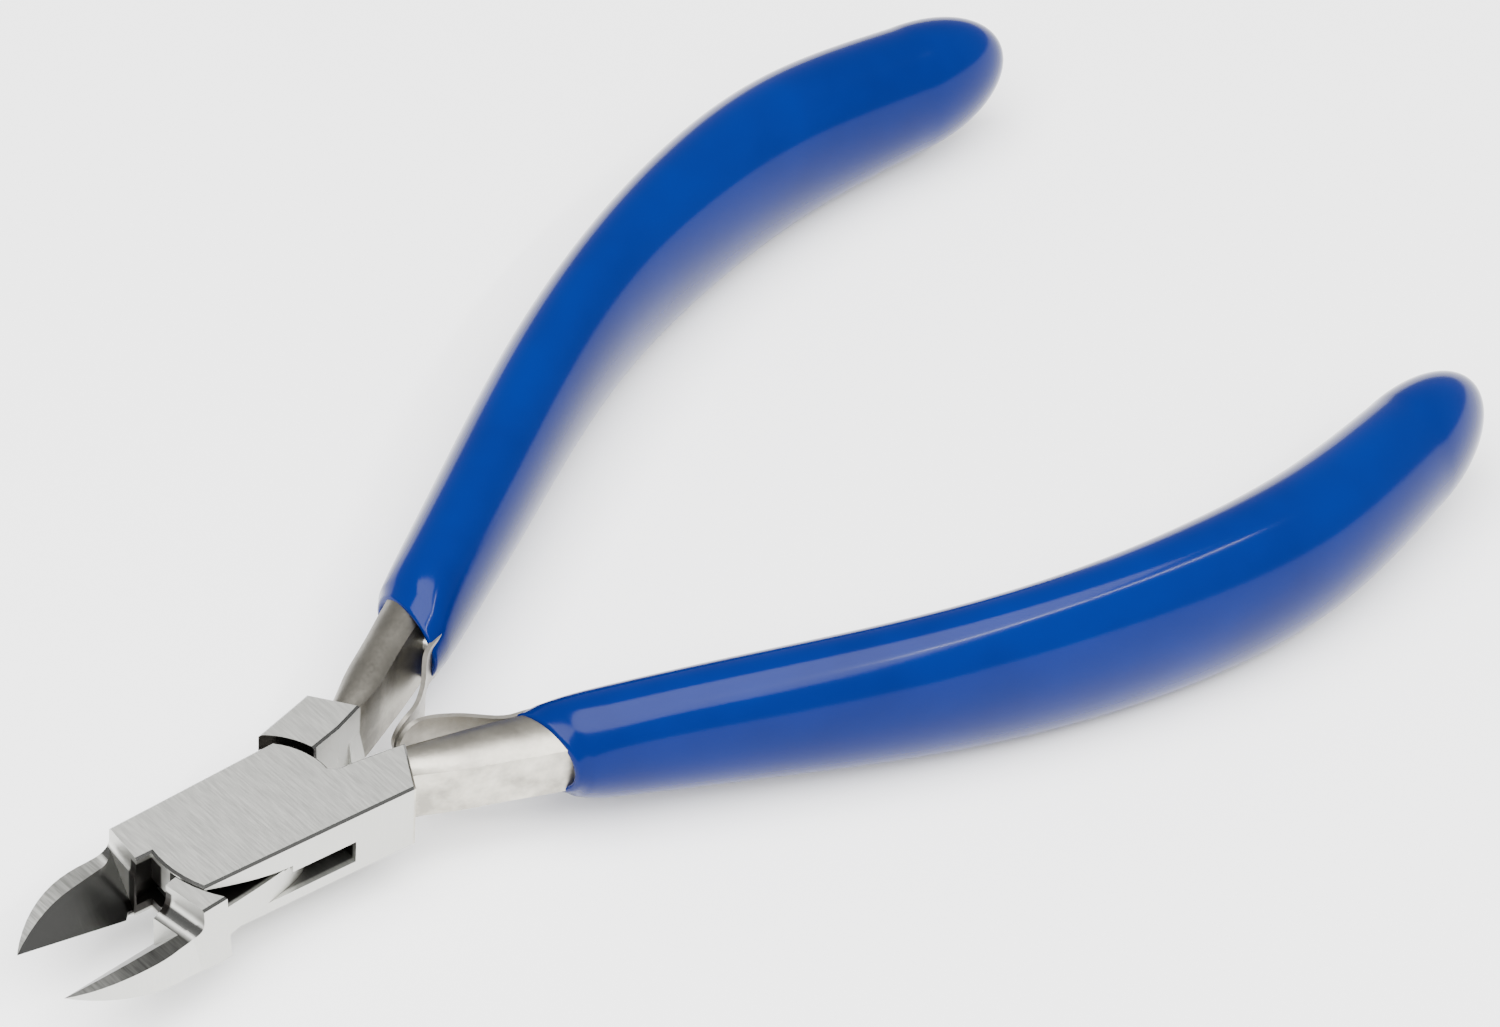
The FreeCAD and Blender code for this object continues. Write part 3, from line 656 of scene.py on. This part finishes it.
def section_matrix(x, y, heading, half_width, half_height):
    """Matrix that lays a unit circle in one cross section, slanted near the mouth."""
    along = Vector((math.cos(heading), math.sin(heading), 0))
    fade = max(0.0, 1.0 - (x - GRIP_START) / MOUTH_FADE)
    slant = math.tan((MOUTH_SLANT + heading) * fade * fade)
    matrix = Matrix.Identity(4)
    matrix.col[0] = (*((UP.cross(along) + along * slant) * half_width), 0)
    matrix.col[1] = (*(UP * half_height), 0)
    matrix.col[2] = (*along, 0)
    matrix.col[3] = (x, y, MID, 1)
    return matrix


def lip_matrix(mouth, along, share, depth):
    """Matrix of a ring round the mouth, a share of its size and a depth inside it."""
    return Matrix.Translation(along * depth) @ mouth @ Matrix.Diagonal((share, share, 1, 1))


def lip_matrices(mouth, along):
    """Rings of the rolled lip, from its bore out over the roll to the skin."""
    rings = []
    for i in range(LIP_STEPS + 1):
        angle = math.pi * i / LIP_STEPS
        share = LIP_MIDDLE - LIP_HALF_WALL * math.cos(angle)
        rings.append(lip_matrix(mouth, along, share, LIP_ROLL - LIP_ROLL * math.sin(angle)))
    return rings


def extrude_ring(mesh, ring, matrix):
    """Draw a ring of edges out to its next place, and give the new ring."""
    made = bmesh.ops.extrude_edge_only(mesh, edges=ring)["geom"]
    verts = {part for part in made if isinstance(part, bmesh.types.BMVert)}
    edges = [part for part in made if isinstance(part, bmesh.types.BMEdge)]
    bmesh.ops.transform(mesh, matrix=matrix, verts=list(verts))
    return [edge for edge in edges if verts.issuperset(edge.verts)]


def grip_skin(name, settings, side):
    """One dipped grip: a tube of rings along the handle, with a rolled mouth and a round nose."""
    matrices = [section_matrix(*section) for section in grip_sections(settings.rings)]
    mouth = matrices[0]
    along = mouth.col[2].to_3d()
    current = lip_matrix(mouth, along, LIP_MIDDLE - LIP_HALF_WALL, BORE_DEPTH)
    mesh = bmesh.new()
    bmesh.ops.create_circle(mesh, segments=settings.sides, radius=1.0, matrix=current)
    ring = list(mesh.edges)
    for target in lip_matrices(mouth, along) + matrices[2:]:
        ring = extrude_ring(mesh, ring, target @ current.inverted())
        current = target
    bmesh.ops.holes_fill(mesh, edges=ring, sides=0)
    bmesh.ops.transform(mesh, matrix=Matrix.Rotation(REST_ANGLE, 4, "Z"), verts=mesh.verts)
    bmesh.ops.transform(mesh, matrix=Matrix.Diagonal((1, side, 1, 1)), verts=mesh.verts)
    bmesh.ops.recalc_face_normals(mesh, faces=mesh.faces)
    for face in mesh.faces:
        face.smooth = True
    return linked_object(name, mesh)


class OBJECT_OT_pliers_grips(Operator):
    """Build both dipped grips with their rolled mouths and round noses"""

    bl_idname = "object.pliers_grips"
    bl_label = "Build Grips"

    def execute(self, context):
        settings = context.scene.pliers_grips
        material = dipped_vinyl(settings)
        for node, body, side in (("lower_grip", "root", -1), ("upper_grip", "inner", 1)):
            thing = grip_skin(node + "_skin", settings, side)
            thing.data.materials.append(material)
            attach(thing, body)
            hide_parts(node)
        return {"FINISHED"}


class OBJECT_OT_pliers_steel(Operator):
    """Finish both halves, the pivot pin and the spring rivets in ground steel"""

    bl_idname = "object.pliers_steel"
    bl_label = "Finish Steel"

    def execute(self, context):
        settings = context.scene.pliers_steel
        light_band = scaled(settings.ground, LIGHT_BAND)
        # painted shade: the inner half's coarse band is painted near black
        shaded_band = scaled(settings.ground, SHADED_BAND)
        # painted light: a paler, lit copy of the forged steel for the box half's shank
        lit_shank = scaled(settings.forged, LIT_SHANK)
        dark_shank = tuple(settings.forged)
        rivet = ground_steel("rivet_steel", settings, 0.0)
        finishes = {
            "box_half": half_steel("box_steel", settings, -1, light_band, lit_shank),
            "inner_half": half_steel("neck_steel", settings, 1, shaded_band, dark_shank),
            "pivot_pin": ground_steel("pin_steel", settings, REST_ANGLE),
            "lower_spring_rivet": rivet,
            "upper_spring_rivet": rivet,
        }
        for node, material in finishes.items():
            dress(node, material)
        return {"FINISHED"}


class OBJECT_OT_pliers_leaves(Operator):
    """Finish the pair of leaf springs"""

    bl_idname = "object.pliers_leaves"
    bl_label = "Finish Leaf Springs"

    def execute(self, context):
        material = leaf_steel(context.scene.pliers_steel)
        for node in ("lower_leaf_spring", "upper_leaf_spring"):
            dress(node, material)
        return {"FINISHED"}


# ---------------------------------------------------------------- stage

def lay_floor(settings, height):
    """Lay the pale floor at the height of the tool's lowest point."""
    mesh = bmesh.new()
    bmesh.ops.create_grid(mesh, x_segments=1, y_segments=1, size=FLOOR_WIDTH / 2,
                          matrix=Matrix.Translation((FLOOR_MIDDLE, 0, height)))
    floor = linked_object("floor", mesh)
    floor.data.materials.append(paper_floor(settings))


def light_sky(context):
    """Light everything evenly with a plain white surround."""
    world = bpy.data.worlds.new("studio")
    context.scene.world = world
    world.use_nodes = True
    sky = world.node_tree.nodes["Background"]
    sky.inputs["Color"].default_value = (1, 1, 1, 1)
    sky.inputs["Strength"].default_value = SKY_STRENGTH


def area_light(name, place, target, size, power):
    """Hang a soft rectangular light that faces a point."""
    data = bpy.data.lights.new(name, "AREA")
    data.shape = "RECTANGLE"
    data.size, data.size_y = size
    data.energy = power
    lamp = bpy.data.objects.new(name, data)
    lamp.location = place
    facing = Vector(target) - Vector(place)
    lamp.rotation_euler = facing.to_track_quat("-Z", "Y").to_euler()
    bpy.context.scene.collection.objects.link(lamp)


def place_camera(context, settings):
    """Set the camera at its turn, height angle, tilt and distance from the target."""
    data = bpy.data.cameras.new("camera")
    data.lens = settings.lens
    data.sensor_width = SENSOR_WIDTH
    data.clip_start, data.clip_end = CAMERA_REACH
    azimuth, elevation, roll = settings.azimuth, settings.elevation, settings.roll
    back = Vector((math.sin(azimuth) * math.cos(elevation),
                   -math.cos(azimuth) * math.cos(elevation), math.sin(elevation)))
    right = UP.cross(back).normalized()
    up = back.cross(right)
    across = right * math.cos(roll) + up * math.sin(roll)
    above = up * math.cos(roll) - right * math.sin(roll)
    matrix = Matrix((across, above, back)).transposed().to_4x4()
    matrix.translation = Vector(settings.target) + back * settings.distance
    camera = bpy.data.objects.new("camera", data)
    camera.matrix_world = matrix
    context.scene.collection.objects.link(camera)
    context.scene.camera = camera


class SCENE_OT_pliers_stage(Operator):
    """Set the pale floor, the soft lights and the camera"""

    bl_idname = "scene.pliers_stage"
    bl_label = "Set Stage"

    def execute(self, context):
        settings = context.scene.pliers_stage
        lay_floor(settings, LOADED_BOUNDS[0].z)
        light_sky(context)
        for light in LIGHTS:
            area_light(*light)
        place_camera(context, settings)
        return {"FINISHED"}


class VIEW3D_PT_pliers(Panel):
    """Sidebar panel that lists the build steps and their settings"""

    bl_label = "Flush Cut Pliers"
    bl_idname = "VIEW3D_PT_pliers"
    bl_space_type = "VIEW_3D"
    bl_region_type = "UI"
    bl_category = "Pliers"

    def draw(self, context):
        layout = self.layout
        for group, steps in (("pliers_grips", ["object.pliers_grips"]),
                             ("pliers_steel", ["object.pliers_steel", "object.pliers_leaves"]),
                             ("pliers_stage", ["scene.pliers_stage"])):
            box = layout.box()
            settings = getattr(context.scene, group)
            for name in settings.bl_rna.properties.keys():
                if name not in {"rna_type", "name"}:
                    box.prop(settings, name)
            for step in steps:
                box.operator(step)


CLASSES = (
    GripSettings, SteelSettings, StageSettings,
    OBJECT_OT_pliers_grips, OBJECT_OT_pliers_steel, OBJECT_OT_pliers_leaves,
    SCENE_OT_pliers_stage, VIEW3D_PT_pliers,
)


def register():
    for cls in CLASSES:
        bpy.utils.register_class(cls)
    bpy.types.Scene.pliers_grips = PointerProperty(type=GripSettings)
    bpy.types.Scene.pliers_steel = PointerProperty(type=SteelSettings)
    bpy.types.Scene.pliers_stage = PointerProperty(type=StageSettings)


def unregister():
    del bpy.types.Scene.pliers_stage
    del bpy.types.Scene.pliers_steel
    del bpy.types.Scene.pliers_grips
    for cls in reversed(CLASSES):
        bpy.utils.unregister_class(cls)


def main():
    register()
    bpy.ops.object.pliers_grips()
    bpy.ops.object.pliers_steel()
    bpy.ops.object.pliers_leaves()
    bpy.ops.scene.pliers_stage()


if __name__ == "__main__":
    main()
